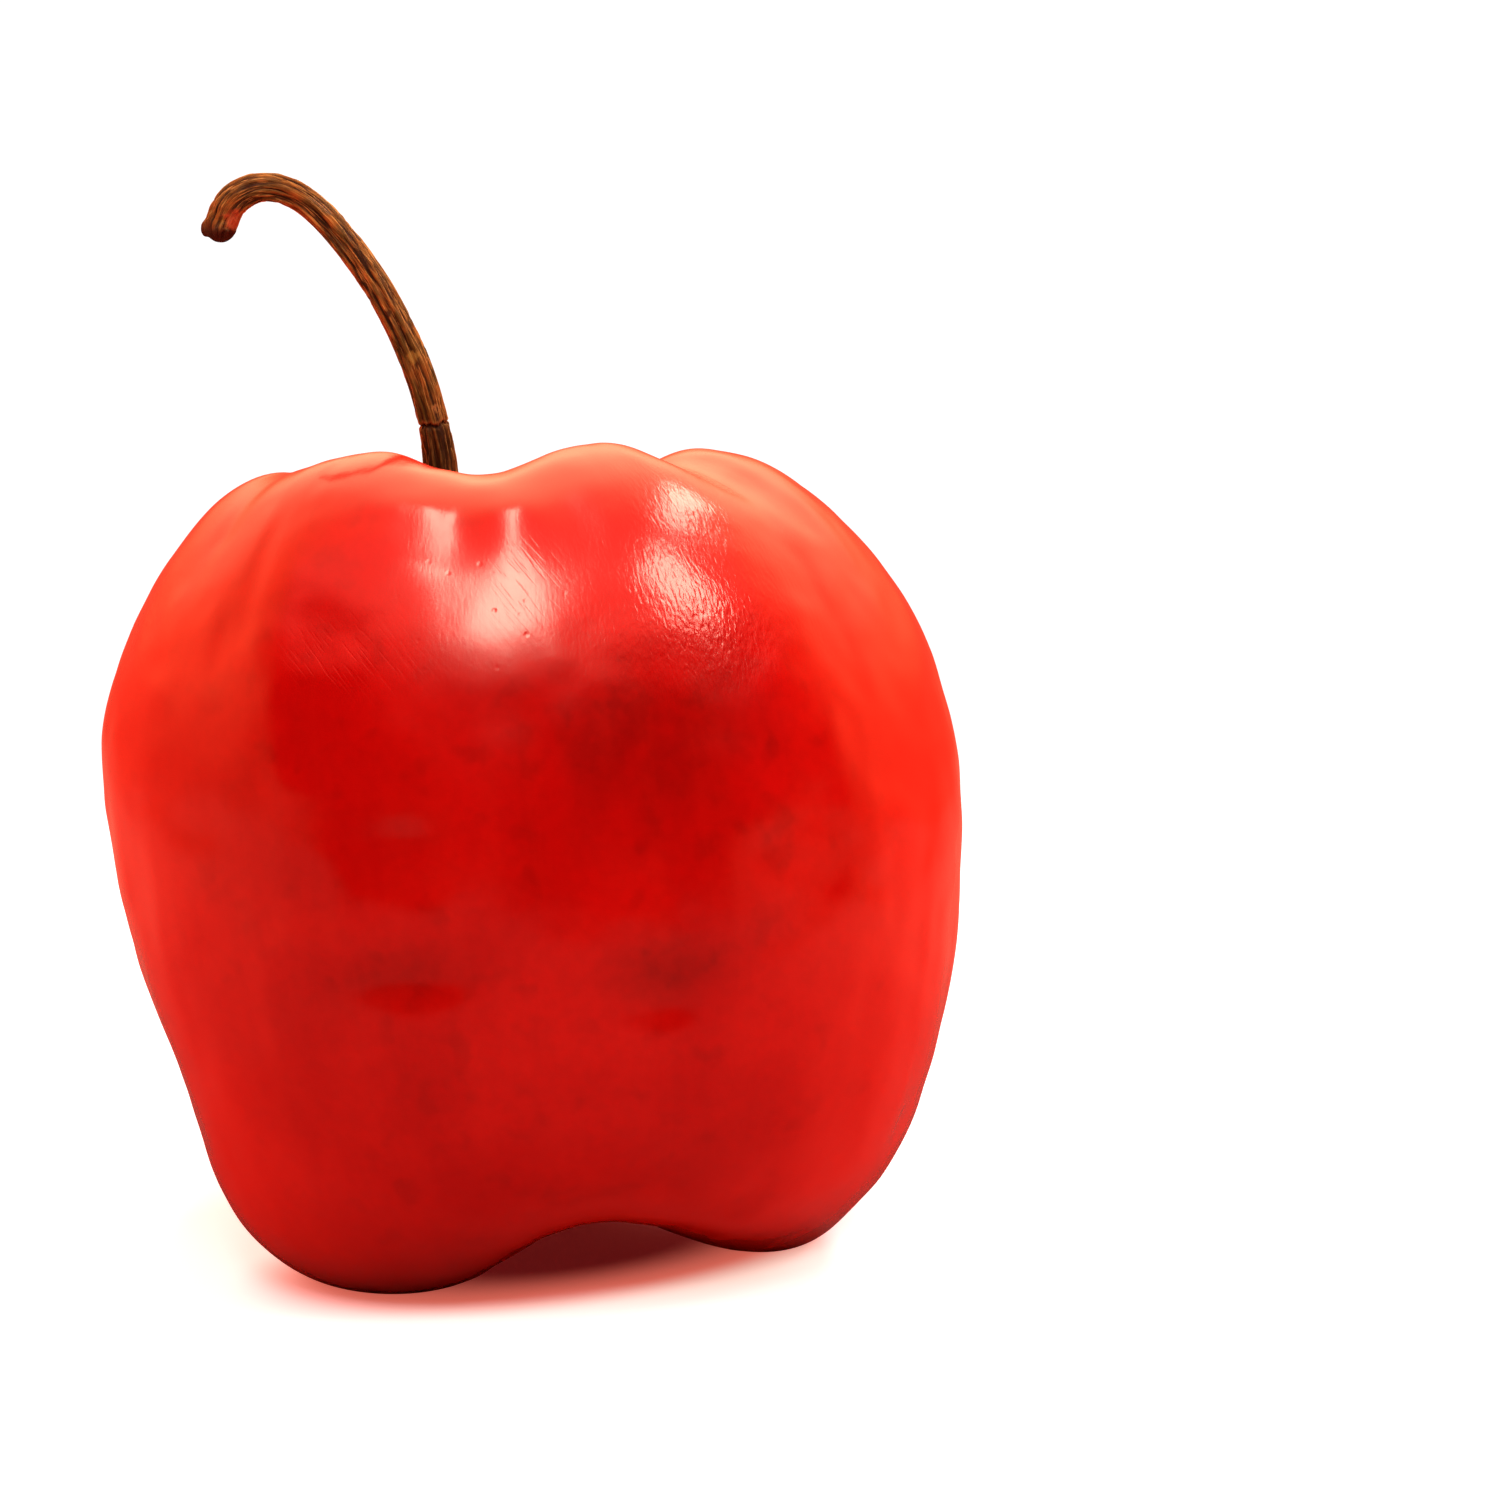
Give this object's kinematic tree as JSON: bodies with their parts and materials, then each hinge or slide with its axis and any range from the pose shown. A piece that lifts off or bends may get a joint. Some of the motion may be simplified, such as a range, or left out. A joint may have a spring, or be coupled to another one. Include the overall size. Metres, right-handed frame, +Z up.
{
  "type": "rocoto pepper",
  "caption": "Whole ripe red rocoto pepper as picked, with lobed blocky fruit, small green calyx in the stem hollow and a long brown stem that hooks over.",
  "frame": {"origin": "on the surface the pepper stands on, under the middle of its box", "axes": "+Z up from the feet to the stem, +X to the right of the side that faces the viewer, +Y away from the viewer"},
  "size_m": [0.0756, 0.0698, 0.0954],
  "materials": {
    "skin": "waxy red pepper skin, glossy, finely wrinkled",
    "calyx": "matt green, browned at the tips of its teeth",
    "stem": "dry brown fibrous stalk"
  },
  "bodies": {
    "root": {"berry": "skin", "calyx": "calyx", "stem": "stem"}
  },
  "joints": []
}
